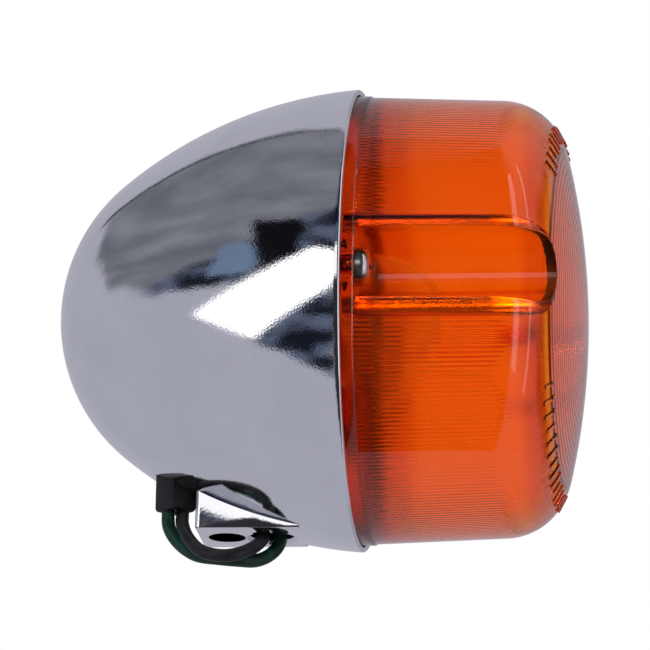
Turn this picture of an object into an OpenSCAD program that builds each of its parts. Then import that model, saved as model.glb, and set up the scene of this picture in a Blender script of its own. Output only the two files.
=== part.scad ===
// Turn signal lamp: a die-cast bullet housing on a stud boss, a moulded lens held by two screws,
// and a bayonet bulb in a sprung socket behind a dished reflector.
// The origin is the mouth of the stud hole, +X runs along the lamp axis to the lens, +Z is up.

/* [Housing] */
// Outer radius of the housing at its rim
rim_r = 41.25; // [40.5:0.25:42.5]
// Length of the housing from its nose to its rim
housing_len = 54.2; // [52:0.2:56]
// Radius of the rounded nose
nose_r = 31.4; // [30:0.2:33]
// Radius of the long curve between the nose and the rim
flank_r = 76; // [72:1:84]
// Thickness of the cast wall
wall = 1.8; // [1.4:0.1:2.2]

/* [Mounting boss] */
// Height of the lamp axis above the flat face of the boss
axis_h = 39.5; // [39:0.1:40]
// Width of the boss across the lamp
boss_w = 15; // [14:0.5:18]
// Distance from the rear of the boss to the centre of the stud hole
boss_back = 4.9; // [4.6:0.1:5.2]
// Distance from the stud hole's centre to the rim plane
stud_to_rim = 23.6; // [23:0.1:24]
// Radius of the tapped stud hole
stud_r = 3.3; // [3:0.1:3.4]
// Depth of the tapped stud hole
stud_depth = 10; // [8:0.5:10]
// Radius of the hole that the wires go through
wire_hole_r = 3.9; // [3.8:0.05:4]

/* [Lens] */
// Radius of the lens at its flange
lens_r = 40; // [39.6:0.1:40]
// Length of the lens in front of the rim
lens_len = 39.8; // [38:0.2:42]
// Thickness of the moulded lens
lens_wall = 2.2; // [2:0.1:2.6]
// Radius of the rounded edge between the side and the front
corner_r = 11.6; // [10:0.2:13]
// Radius of the domed front
dome_r = 127; // [115:1:160]
// Taper of the side wall, in millimetres a millimetre
draft = 0.038; // [0.02:0.002:0.05]
// Radius of the two screw channels
channel_r = 6.3; // [6:0.1:6.6]
// Distance from the lamp axis to each lens screw
screw_out = 34.8; // [34.4:0.1:35]

/* [Bulb] */
// Radius of the glass globe
globe_r = 13.25; // [12.5:0.25:13.5]
// Radius of the bayonet cap
cap_r = 7.5; // [7.4:0.05:7.55]
// How far the bulb can be pushed in against the spring
push = 1.5; // [1:0.1:1.6]

/* [Wires] */
// Radius of each insulated wire
wire_r = 1.2; // [1.1:0.05:1.25]

/* [Hidden] */
$fn = 96;

// Places along the lamp axis are measured from the rim plane, forward positive.
cut = 0.01;
fit_gap = 0.05;
far = 100;

// Housing
lip_r = 0.5;
lip_set = 0.03;
rebate_depth = 2.6;
rebate_r = rim_r - 1.05;
ledge_r = 38;
ledge_back = 7;
ledge_run = 3;
post_r = 4.6;
post_len = 15;
post_top = -1.45;
tapped_r = 2;
tapped_len = 13;
bracket_tapped = 9;
bracket_post_r = 4;
boss_front = 21;
boss_step = 10.4;
boss_top = 13;
boss_low = 6;
boss_corner = 0.8;
wire_hole_x = 7.9;
wire_hole_y = 1;
wire_hole_sink = 0.6;

// Reflector and gasket
reflector_t = 0.6;
reflector_hole_r = 9;
reflector_back = -20.8;
reflector_edge_r = ledge_r - 0.1;
flange_r = rebate_r - 0.1;
flange_lap = 1;
notch_r = post_r + 0.3;
gasket_r = ledge_r + 0.2;

// Lens
lens_back = -1.35;
flange_front = 2;
flange_w = 3;
side_r = lens_r - 0.15;
channel_floor = 2.2;
foot_r = 4.4;
screw_r = 1.95;
screw_hole_r = 2.15;
screw_head_r = 3.4;
screw_head_h = 2.4;
screw_len = 13;
slot_w = 0.9;
slot_len = 4.4;

// Socket, measured from the stud hole's centre
shell_in = 7.75;
shell_out = 8.35;
shell_back = -21.5;
shell_front = 3;
collar_r = 9.8;
collar_t = 0.8;
bracket_t = 1.2;
bracket_x = -3;
bracket_w = 14;
bracket_eye_r = 11;
bracket_half = 25;
bracket_hole_y = 21;
bracket_screw_len = 7;
plate_t = 1.5;
plate_r = shell_in - 0.05;
carrier_t = 1.8;
carrier_r = 7.3;
button_r = 2.4;
button_proud = 0.2;
spring_r = 5.2;
spring_wire = 0.8;
bayonet_w = 2.4;
bayonet_turn = 28;
pin_gap = 0.15;
collar_lap = 0.2;

// Bulb, measured from the stud hole's centre
contact_tip = -14;
contact_t = 1.2;
contact_r = 2.6;
insulator_t = 1.4;
cap_back = contact_tip + contact_t;
cap_t = 0.45;
cap_len = 18.3;
pin_x = contact_tip + 7.2;
pin_r = 1;
pin_out = 8.6;
neck_r = cap_r - cap_t - 0.05;
globe_x = 24;
glass_t = 0.6;
neck_back = -19;
neck_front = -15;
neck_lean = 32;
stem_len = 17;
stem_r = 2.4;
filament_half = 2.6;
filament_r = 0.45;
lead_r = 0.25;
lead_past = 0.6;
lead_y = 1.6;

// Grommet and wires, measured from the stud hole's mouth
grommet_w = 5.4;
grommet_x = -8.9;
grommet_y = -3.5;
grommet_low = 3.8;
grommet_top = 14;
grommet_len = 9.7;
wire_gap = 1.3;
terminal_r = 1.5;
terminal_len = 4;
rivet_r = 1;
rivet_head_r = 1.8;
rivet_head_t = 0.4;
tab_w = 3;
tab_t = 0.6;
tab_stand = 1.3;
tab_low = axis_h - 6;
tag_r = 3.8;
tag_w = 3.6;
tag_t = 0.8;
tag_low = 31;

signal_route = [
  [-23.1, 0, tab_low], [-23.1, -0.3, 31], [-22.2, -1.2, 27.6], [-19, -2.2, 23.8],
  [-14, -3, 20.6], [-9.4, -3.4, 17.2], [-7.6, -3.5, 14], [-7.6, -3.5, 9], [-7.6, -3.5, 3.8],
  [-7.4, -4.6, 1.2], [-6, -6, -1.8], [-3.4, -7.4, -4.3], [0.2, -8, -5.2], [3.2, -7.2, -4.6],
  [5.2, -5, -3.1], [6.3, -2.8, -1.4], [6.8, -0.9, 0.4], [6.8, 0, 2.6], [6.7, 0.2, 5]
];
earth_route = [
  [-1.4, -21, 31], [-2, -20.8, 28.4], [-5, -19, 25.4], [-8.4, -15.4, 22.8], [-10.8, -11, 20],
  [-10.9, -7.6, 17.6], [-10.6, -5, 15.4], [-10.2, -3.6, 13], [-10.2, -3.5, 9],
  [-10.2, -3.5, 3.8], [-9.9, -3, 0.9], [-8, -3, -1.9], [-4.8, -4.2, -4.2],
  [-0.9, -5, -5], [2.6, -4.4, -5.2], [5.2, -3, -5], [7.3, -1.5, -3.9], [8.8, 0.2, -2],
  [9.3, 1.6, 0], [9.3, 2, 2.4], [9.3, 2, 5]
];
// The groove that eases the black lead over the edge of the wire hole, from inside to outside.
relief_from = [7.2, 0.2, 1.6];
relief_to = [5.2, -5, -3.1];
relief_r = 1.6;

// The long curve's centre, [radius, axial], from the nose centre and the rim point.
nose_x = nose_r - housing_len;
rim_gap = norm([rim_r, nose_x]);
nose_reach = flank_r - nose_r;
along = (nose_reach ^ 2 - flank_r ^ 2 + rim_gap ^ 2) / (2 * rim_gap);
aside = sqrt(nose_reach ^ 2 - along ^ 2);
to_rim = [rim_r, -nose_x] / rim_gap;
flank_c = [0, nose_x] + along * to_rim + aside * [-to_rim[1], to_rim[0]];
join_x = nose_x + nose_r * (nose_x - flank_c[1]) / nose_reach;

// The rounded lens edge's centre, from the tapered side and the dome.
slope_len = sqrt(1 + draft ^ 2);
dome_x = lens_len - dome_r;
edge_reach = dome_r - corner_r;
edge_a = side_r - corner_r * slope_len;
edge_b = dome_x + edge_a * draft;
edge_root = edge_b ^ 2 - slope_len ^ 2 * (dome_x ^ 2 + edge_a ^ 2 - edge_reach ^ 2);
edge_x = (edge_b + sqrt(edge_root)) / slope_len ^ 2;
edge_r = edge_a - draft * edge_x;

function unit(v) = v / norm(v);
function tangent(route, i) = unit(route[min(i + 1, len(route) - 1)] - route[max(i - 1, 0)]);

// Turns an outline in [radius, axial] about the lamp axis, axial zero at the rim plane.
module turned() {
  translate([stud_to_rim, 0, axis_h]) rotate([0, 90, 0]) rotate_extrude() children();
}

// A cylinder along the lamp axis, at y across and z up from the axis, from x0 to x1.
module rod(r, x0, x1, y = 0, z = 0) {
  translate([x0, y, axis_h + z]) rotate([0, 90, 0]) cylinder(r = r, h = x1 - x0);
}

module ring(r_in, r_out, x0, x1, y = 0, z = 0) {
  difference() {
    rod(r_out, x0, x1, y, z);
    rod(r_in, x0 - cut, x1 + cut, y, z);
  }
}

module bullet_outline(inset) {
  intersection() {
    union() {
      translate([0, nose_x]) circle(nose_r - inset);
      intersection() {
        translate(flank_c) circle(flank_r - inset);
        translate([0, join_x]) square([far, far]);
      }
    }
    translate([0, -far]) square([far, far]);
  }
}

module housing_outline() {
  lip_c = rim_r - lip_r;
  difference() {
    union() {
      difference() {
        bullet_outline(0);
        bullet_outline(wall);
      }
      intersection() {
        bullet_outline(0);
        polygon([
          [ledge_r, -rebate_depth], [far, -rebate_depth],
          [far, -ledge_back - ledge_run], [ledge_r, -ledge_back]
        ]);
      }
    }
    translate([0, -rebate_depth]) square([rebate_r, far]);
    translate([0, -lip_r]) square([far, far]);
  }
  intersection() {
    translate([lip_c - lip_set, -lip_r]) circle(lip_r);
    translate([rebate_r, -rebate_depth]) square([lip_r * 3, far]);
  }
}

module boss_block(len, top) {
  x0 = -boss_back;
  linear_extrude(top) {
    translate([x0 + boss_corner, -boss_w / 2]) square([len - boss_corner, boss_w]);
    translate([x0, boss_corner - boss_w / 2]) square([len, boss_w - 2 * boss_corner]);
    for (side = [-1, 1])
      translate([x0 + boss_corner, side * (boss_w / 2 - boss_corner)]) circle(boss_corner);
  }
}

module housing() color("silver") {
  relief = relief_to - relief_from;
  difference() {
    union() {
      turned() housing_outline();
      difference() {
        union() {
          boss_block(boss_step, boss_top);
          boss_block(boss_front, boss_low);
        }
        translate([stud_to_rim - ledge_back - ledge_run, -far, 0]) cube([far, 2 * far, far]);
      }
      intersection() {
        turned() bullet_outline(wall / 2);
        for (side = [-1, 1]) {
          rod(post_r, stud_to_rim - post_len, stud_to_rim + post_top, side * screw_out);
          rod(bracket_post_r, -far / 2, bracket_x, side * bracket_hole_y);
        }
      }
    }
    translate([0, 0, -cut]) cylinder(r = stud_r, h = stud_depth + cut);
    translate([wire_hole_x, wire_hole_y, -cut]) {
      cylinder(r = wire_hole_r, h = boss_top + 2 * cut);
      cylinder(r1 = wire_hole_r + wire_hole_sink, r2 = wire_hole_r, h = wire_hole_sink);
    }
    translate(relief_from)
      rotate([0, acos(relief[2] / norm(relief)), atan2(relief[1], relief[0])])
        cylinder(r = relief_r, h = norm(relief));
    translate([grommet_x, grommet_y, grommet_low - cut]) rotate([0, 0, 45])
      translate([-grommet_w / 2, -grommet_w / 2, 0]) cube([grommet_w, grommet_w, grommet_top]);
    for (side = [-1, 1]) {
      rod(tapped_r, stud_to_rim + post_top - tapped_len, stud_to_rim + cut, side * screw_out);
      rod(tapped_r, bracket_x - bracket_tapped, bracket_x + cut, side * bracket_hole_y);
    }
  }
}

module reflector() color("gainsboro") {
  bowl_a = reflector_edge_r ^ 2 - reflector_hole_r ^ 2 + rebate_depth ^ 2 - reflector_back ^ 2;
  bowl_x = bowl_a / (2 * (-rebate_depth - reflector_back));
  bowl_r = norm([reflector_hole_r, bowl_x - reflector_back]);
  difference() {
    turned() {
      intersection() {
        translate([0, bowl_x]) difference() {
          circle(bowl_r, $fn = 180);
          circle(bowl_r - reflector_t, $fn = 180);
        }
        translate([reflector_hole_r, -far]) square([far, far - rebate_depth + reflector_t]);
      }
      translate([reflector_edge_r - flange_lap, -rebate_depth])
        square([flange_r - reflector_edge_r + flange_lap, reflector_t]);
    }
    for (side = [-1, 1]) rod(notch_r, 0, far, side * screw_out);
  }
}

module lens_gasket() color("dimgray") {
  gasket_back = stud_to_rim - rebate_depth + reflector_t;
  difference() {
    ring(gasket_r, flange_r, gasket_back, stud_to_rim + lens_back - fit_gap);
    for (side = [-1, 1]) rod(notch_r, 0, far, side * screw_out);
  }
}

module lens_outline(inset) {
  side_tangent = [edge_r, edge_x] + (corner_r - inset) * [1, draft] / slope_len;
  dome_ray = unit([edge_r, edge_x - dome_x]);
  polygon([
    [0, lens_back - cut], [side_r - inset * slope_len - draft * lens_back, lens_back - cut],
    side_tangent, [edge_r, edge_x], [0, edge_x]
  ]);
  translate([edge_r, edge_x]) circle(corner_r - inset);
  intersection() {
    translate([0, dome_x]) circle(dome_r - inset, $fn = 720);
    polygon([[0, edge_x], [0, far], [edge_r, edge_x] + far * dome_ray, [edge_r, edge_x]]);
  }
}

// The space of one screw channel, open outwards and forwards from x0.
module channel(r, x0, side) {
  rod(r, stud_to_rim + x0, stud_to_rim + far, side * screw_out);
  translate([stud_to_rim + x0, side > 0 ? screw_out : -screw_out - far, axis_h - r])
    cube([far, far, 2 * r]);
}

// All that belongs to one channel: its walls, its floor and the foot under the floor.
module channel_block(side) {
  channel(channel_r + lens_wall, channel_floor - lens_wall, side);
  rod(foot_r, stud_to_rim + lens_back, stud_to_rim + channel_floor, side * screw_out);
}

module lens_solid() {
  turned() intersection() {
    lens_outline(0);
    translate([0, lens_back]) square([far, far]);
  }
  ring(lens_r - flange_w, lens_r, stud_to_rim + lens_back, stud_to_rim + flange_front);
}

module lens() color("darkorange") {
  difference() {
    lens_solid();
    turned() lens_outline(lens_wall);
    for (side = [-1, 1]) channel_block(side);
  }
}

module lens_channel(side) color("orange") {
  difference() {
    intersection() {
      lens_solid();
      channel_block(side);
    }
    channel(channel_r, channel_floor, side);
    rod(screw_hole_r, 0, far, side * screw_out);
  }
}

module lens_channel_left() lens_channel(-1);

module lens_channel_right() lens_channel(1);

module lens_screw(side) color("lightgray") {
  seat = stud_to_rim + channel_floor + fit_gap;
  difference() {
    union() {
      rod(screw_r, seat - screw_len, seat + cut, side * screw_out);
      rod(screw_head_r, seat, seat + screw_head_h, side * screw_out);
    }
    for (turn = [0, 90])
      translate([seat + screw_head_h / 2, side * screw_out, axis_h]) rotate([turn, 0, 0])
        translate([0, -slot_w / 2, -slot_len / 2]) cube([screw_head_h, slot_w, slot_len]);
  }
}

module lens_screw_left() lens_screw(-1);

module lens_screw_right() lens_screw(1);

module bayonet_cut(turn, x0, len) {
  translate([x0, 0, axis_h]) rotate([turn, 0, 0])
    translate([0, -bayonet_w / 2, 0]) cube([len, bayonet_w, 2 * shell_out]);
}

module socket_shell() color("gainsboro") {
  slot_back = pin_x - pin_r - push - pin_gap;
  seat_len = push + 2 * pin_r + 2 * pin_gap;
  difference() {
    union() {
      ring(shell_in, shell_out, shell_back, shell_front);
      ring(shell_out - collar_lap, collar_r, bracket_x + bracket_t, bracket_x + bracket_t + collar_t);
    }
    for (side = [-90, 90]) {
      bayonet_cut(side, slot_back, seat_len);
      bayonet_cut(side + bayonet_turn, slot_back, shell_front - slot_back + cut);
      for (turn = [4 : 4 : bayonet_turn - 4]) bayonet_cut(side + turn, slot_back, bayonet_w);
    }
  }
}

module socket_bracket() color("darkgray") {
  difference() {
    union() {
      translate([bracket_x, -bracket_half, axis_h - bracket_w / 2])
        cube([bracket_t, 2 * bracket_half, bracket_w]);
      rod(bracket_eye_r, bracket_x, bracket_x + bracket_t);
    }
    rod(shell_out, bracket_x - cut, bracket_x + bracket_t + cut);
    for (side = [-1, 1])
      rod(screw_hole_r, bracket_x - cut, bracket_x + bracket_t + cut, side * bracket_hole_y);
  }
}

module bracket_screws() color("silver") {
  for (side = [-1, 1]) {
    seat = bracket_x + bracket_t + (side < 0 ? tag_t : 0);
    difference() {
      union() {
        rod(screw_r, bracket_x - bracket_screw_len, seat + cut, side * bracket_hole_y);
        rod(screw_head_r, seat, seat + screw_head_h, side * bracket_hole_y);
      }
      translate([seat + screw_head_h / 2, side * bracket_hole_y - slot_w / 2, axis_h - far / 2])
        cube([screw_head_h, slot_w, far]);
    }
  }
}

module socket_back_plate() color("saddlebrown") {
  ring(rivet_r, plate_r, shell_back, shell_back + plate_t);
}

module signal_terminal() color("goldenrod") {
  tab_x = shell_back - tab_stand - tab_t;
  plate_front = shell_back + plate_t;
  rod(rivet_r, tab_x, plate_front + cut);
  rod(rivet_head_r, plate_front, plate_front + rivet_head_t);
  rod(tab_w / 2, tab_x, tab_x + tab_t);
  translate([tab_x, -tab_w / 2, tab_low]) cube([tab_t, tab_w, axis_h - tab_low]);
}

module contact_spring() color("gold") {
  front = contact_tip - fit_gap - carrier_t;
  ring(spring_r - spring_wire, spring_r, shell_back + plate_t, front);
}

module contact_carrier() color("sienna") {
  front = contact_tip - fit_gap;
  ring(button_r, carrier_r, front - carrier_t, front - button_proud);
}

module contact_button() color("goldenrod") {
  front = contact_tip - fit_gap;
  rod(button_r, front - carrier_t, front);
}

module bulb_cap() color("khaki") {
  difference() {
    ring(cap_r - cap_t, cap_r, cap_back, cap_back + cap_len);
    for (side = [0, 180])
      translate([pin_x, 0, axis_h]) rotate([side - 90, 0, 0]) cylinder(r = pin_r, h = pin_out);
  }
}

module bulb_pins() color("gold") {
  for (side = [0, 180])
    translate([pin_x, 0, axis_h]) rotate([side - 90, 0, 0])
      translate([0, 0, cap_r - cap_t]) cylinder(r = pin_r, h = pin_out - cap_r + cap_t);
}

module bulb_insulator() color("black") {
  rod(cap_r - cap_t, cap_back, cap_back + insulator_t);
}

module bulb_contact() color("silver") {
  rod(contact_r, contact_tip, cap_back);
}

module glass_outline(inset) {
  reach = globe_x - stud_to_rim;
  foot = [neck_r - inset, neck_front];
  translate([0, reach]) circle(globe_r - inset);
  polygon([
    [0, neck_back], [neck_r - inset, neck_back], foot,
    [0, reach] + (globe_r - inset) * [cos(neck_lean), -sin(neck_lean)], [0, reach]
  ]);
}

module bulb_glass() color("lightcyan") {
  turned() intersection() {
    difference() {
      glass_outline(0);
      glass_outline(glass_t);
    }
    translate([0, neck_back]) square([far, far]);
  }
}

module bulb_stem() color("azure") {
  rod(stem_r, cap_back + insulator_t, cap_back + insulator_t + stem_len);
}

module filament() color("dimgray") {
  translate([globe_x, 0, axis_h]) rotate([90, 0, 0])
    cylinder(r = filament_r, h = 2 * filament_half, center = true);
}

module filament_leads() color("gray") {
  stem_end = cap_back + insulator_t + stem_len;
  for (side = [-1, 1]) rod(lead_r, stem_end, globe_x + lead_past, side * lead_y);
}

module earth_tag() color("silver") {
  tag_x = bracket_x + bracket_t;
  tag_y = -bracket_hole_y;
  difference() {
    union() {
      rod(tag_r, tag_x, tag_x + tag_t, tag_y);
      translate([tag_x, tag_y - tag_w / 2, tag_low]) cube([tag_t, tag_w, axis_h - tag_low]);
    }
    rod(screw_hole_r, tag_x - cut, tag_x + tag_t + cut, tag_y);
  }
}

module grommet() color("black") {
  difference() {
    translate([grommet_x, grommet_y, grommet_low]) rotate([0, 0, 45])
      translate([-grommet_w / 2, -grommet_w / 2, 0])
        cube([grommet_w, grommet_w, grommet_len]);
    for (side = [-1, 1])
      translate([grommet_x + side * wire_gap, grommet_y, 0]) cylinder(r = wire_r, h = 2 * grommet_top);
  }
}

module wire(route) {
  sides = 8;
  step = 360 / sides;
  last = len(route) - 1;
  points = [
    for (i = [0 : last])
      let (t = tangent(route, i), a = unit(cross(t, [0, 1, 0])), b = cross(t, a))
      for (k = [0 : sides - 1]) route[i] + wire_r * (cos(step * k) * a + sin(step * k) * b)
  ];
  skin = [
    for (i = [0 : last - 1])
      for (k = [0 : sides - 1])
        let (n = (k + 1) % sides)
        [i * sides + k, (i + 1) * sides + k, (i + 1) * sides + n, i * sides + n]
  ];
  back_end = [for (k = [0 : sides - 1]) k];
  front_end = [for (k = [sides - 1 : -1 : 0]) last * sides + k];
  polyhedron(points, concat([back_end, front_end], skin));
}

module signal_wire() color("black") wire(signal_route);

module earth_wire() color("darkgreen") wire(earth_route);

module wire_terminals() color("goldenrod") {
  for (route = [signal_route, earth_route]) {
    end = route[len(route) - 1];
    translate(end) cylinder(r = terminal_r, h = terminal_len);
  }
}

housing();
reflector();
lens_gasket();
lens();
lens_channel_left();
lens_channel_right();
lens_screw_left();
lens_screw_right();
socket_shell();
socket_bracket();
bracket_screws();
socket_back_plate();
signal_terminal();
contact_spring();
contact_carrier();
contact_button();
bulb_cap();
bulb_pins();
bulb_insulator();
bulb_contact();
bulb_glass();
bulb_stem();
filament();
filament_leads();
earth_tag();
grommet();
signal_wire();
earth_wire();
wire_terminals();
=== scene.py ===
# %% [markdown]
# # A motorcycle turn signal
# The lamp is a chromed bullet housing with a deep amber lens, two lens screws in open channels,
# and a sprung bulb socket inside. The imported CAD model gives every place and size. This lesson
# builds the finished surfaces around it, one piece at a time, in metres.

# %% Load the frame
import math

import bmesh
import bpy
import numpy as np
from mathutils import Matrix, Vector


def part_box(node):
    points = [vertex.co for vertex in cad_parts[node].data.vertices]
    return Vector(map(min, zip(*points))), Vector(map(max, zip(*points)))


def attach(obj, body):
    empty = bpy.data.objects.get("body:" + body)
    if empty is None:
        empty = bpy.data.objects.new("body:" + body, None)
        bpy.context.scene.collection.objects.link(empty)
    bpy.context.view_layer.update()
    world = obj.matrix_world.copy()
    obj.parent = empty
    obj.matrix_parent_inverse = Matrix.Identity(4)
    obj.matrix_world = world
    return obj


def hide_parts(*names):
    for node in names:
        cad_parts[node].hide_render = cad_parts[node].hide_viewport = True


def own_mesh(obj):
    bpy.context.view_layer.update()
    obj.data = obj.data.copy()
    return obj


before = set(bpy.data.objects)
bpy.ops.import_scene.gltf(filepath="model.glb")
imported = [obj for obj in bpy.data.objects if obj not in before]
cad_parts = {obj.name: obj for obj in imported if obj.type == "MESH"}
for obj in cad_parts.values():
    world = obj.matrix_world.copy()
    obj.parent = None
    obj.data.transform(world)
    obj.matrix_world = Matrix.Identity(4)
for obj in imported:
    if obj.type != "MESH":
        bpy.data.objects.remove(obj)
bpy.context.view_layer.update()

# %% [markdown]
# The driving dimensions come from the CAD nodes' own boxes: the lamp axis is the middle of the
# lens, and the rim plane is the front of the housing.

# %% Driving dimensions
MM = 0.001
lens_low, lens_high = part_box("lens")
house_low, house_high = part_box("housing")
axis_z = (lens_low.z + lens_high.z) / 2
rim_x = house_high.x
rim_r = (house_high.z - house_low.z) / 2
house_len = rim_x - house_low.x
print("axis height", round(axis_z, 4), "rim", round(rim_x, 4), "rim radius", round(rim_r, 5))

# %% [markdown]
# ## Camera and light
# The lamp is seen from its side, a little from the front and from below, with a long lens that
# keeps it nearly free of perspective. Chrome shows its room more than itself, so the room is
# drawn in the world: white all round for the amber lens, darker towards the camera, and for
# reflections a pale floor, a grey ceiling, a dark wall with a window, a soft box and strip lights.

# %% Camera
def place_new(name, data):
    """A new object with this data, linked to the scene."""
    piece = bpy.data.objects.new(name, data)
    bpy.context.scene.collection.objects.link(piece)
    return piece


view_azimuth, view_elevation, view_roll = map(math.radians, (6.49, -15.5, 1.17))
view_distance = 1.2
frame_width = 115.75 * MM
aim_right, aim_up = 6.95 * MM, 0.68 * MM
sin_a, cos_a = math.sin(view_azimuth), math.cos(view_azimuth)
sin_e, cos_e = math.sin(view_elevation), math.cos(view_elevation)
toward = Vector((sin_a * cos_e, -cos_a * cos_e, sin_e))
right = Vector((cos_a, sin_a, 0))
up = toward.cross(right)
rolled_right = right * math.cos(view_roll) + up * math.sin(view_roll)
rolled_up = up * math.cos(view_roll) - right * math.sin(view_roll)
aim = Vector((rim_x, 0, axis_z)) - rolled_right * aim_right - rolled_up * aim_up
camera_data = bpy.data.cameras.new("camera")
camera_data.sensor_width = 36
camera_data.lens = camera_data.sensor_width * view_distance / frame_width
camera = place_new("camera", camera_data)
camera.matrix_world = Matrix.Translation(aim + toward * view_distance) @ Matrix(
    (rolled_right, rolled_up, toward)).transposed().to_4x4()
bpy.context.scene.camera = camera
print("lens", round(camera_data.lens, 1), "mm")

# %% Node helpers
def new_tree(owner):
    owner.use_nodes = True
    owner.node_tree.nodes.clear()
    return owner.node_tree


def add(tree, kind, inputs=None, **settings):
    node = tree.nodes.new(kind)
    for key, value in settings.items():
        setattr(node, key, value)
    for key, value in (inputs or {}).items():
        if hasattr(value, "is_output"):
            tree.links.new(value, node.inputs[key])
        else:
            node.inputs[key].default_value = value
    return node


def ramp(tree, factor, stops):
    node = add(tree, "ShaderNodeValToRGB", {"Fac": factor})
    node.color_ramp.interpolation = "EASE"
    elements = node.color_ramp.elements
    while len(elements) < len(stops):
        elements.new(0.5)
    for element, (place, colour) in zip(elements, stops):
        element.position, element.color = place, (*colour, 1)
    return node.outputs["Color"]


def maths(tree, operation, a, b=0.0, clamp=False):
    node = add(tree, "ShaderNodeMath", {0: a, 1: b}, operation=operation, use_clamp=clamp)
    return node.outputs[0]


def scaled(tree, value, factor, offset, clamp=False):
    return add(tree, "ShaderNodeMath", {0: value, 1: factor, 2: offset},
               operation="MULTIPLY_ADD", use_clamp=clamp).outputs[0]


def vector_maths(tree, operation, inputs):
    return add(tree, "ShaderNodeVectorMath", inputs, operation=operation).outputs[0]


def mix_colour(tree, factor, a, b):
    node = add(tree, "ShaderNodeMix", data_type="RGBA")
    for key, value in ((0, factor), (6, a), (7, b)):
        if hasattr(value, "is_output"):
            tree.links.new(value, node.inputs[key])
        else:
            node.inputs[key].default_value = value if key == 0 else (*value, 1)
    return node.outputs[2]


def grey(value):
    return (value, value, value)


def object_place(tree):
    return add(tree, "ShaderNodeTexCoord").outputs["Object"]


def noise(tree, place, scale, detail):
    texture = add(tree, "ShaderNodeTexNoise", {"Vector": place, "Scale": scale, "Detail": detail})
    return texture.outputs["Fac"]


materials = {}


def new_material(name):
    materials[name] = bpy.data.materials.new(name)
    return new_tree(materials[name])


def finish_material(tree, shader_inputs, volume=None):
    shader = add(tree, "ShaderNodeBsdfPrincipled", shader_inputs)
    output = {"Surface": shader.outputs[0]}
    if volume:
        output["Volume"] = volume
    add(tree, "ShaderNodeOutputMaterial", output)


# %% World
def half_plane(tree, view, start, end, soft):
    """1 to the left of the line from start to end, in degrees, with a soft edge."""
    run, rise = end[0] - start[0], end[1] - start[1]
    width = math.hypot(run, rise) * soft
    across = maths(tree, "MULTIPLY", view[0], -rise / width)
    offset = 0.5 - (run * start[1] - rise * start[0]) / width
    return maths(tree, "ADD", across, scaled(tree, view[1], run / width, offset), clamp=True)


def window(tree, view, corners, soft):
    """A mask of a convex patch of the room, corners anticlockwise as (azimuth, elevation)."""
    mask = None
    for start, end in zip(corners, corners[1:] + corners[:1]):
        side = half_plane(tree, view, start, end, soft)
        mask = side if mask is None else maths(tree, "MULTIPLY", mask, side)
    return mask


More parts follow.
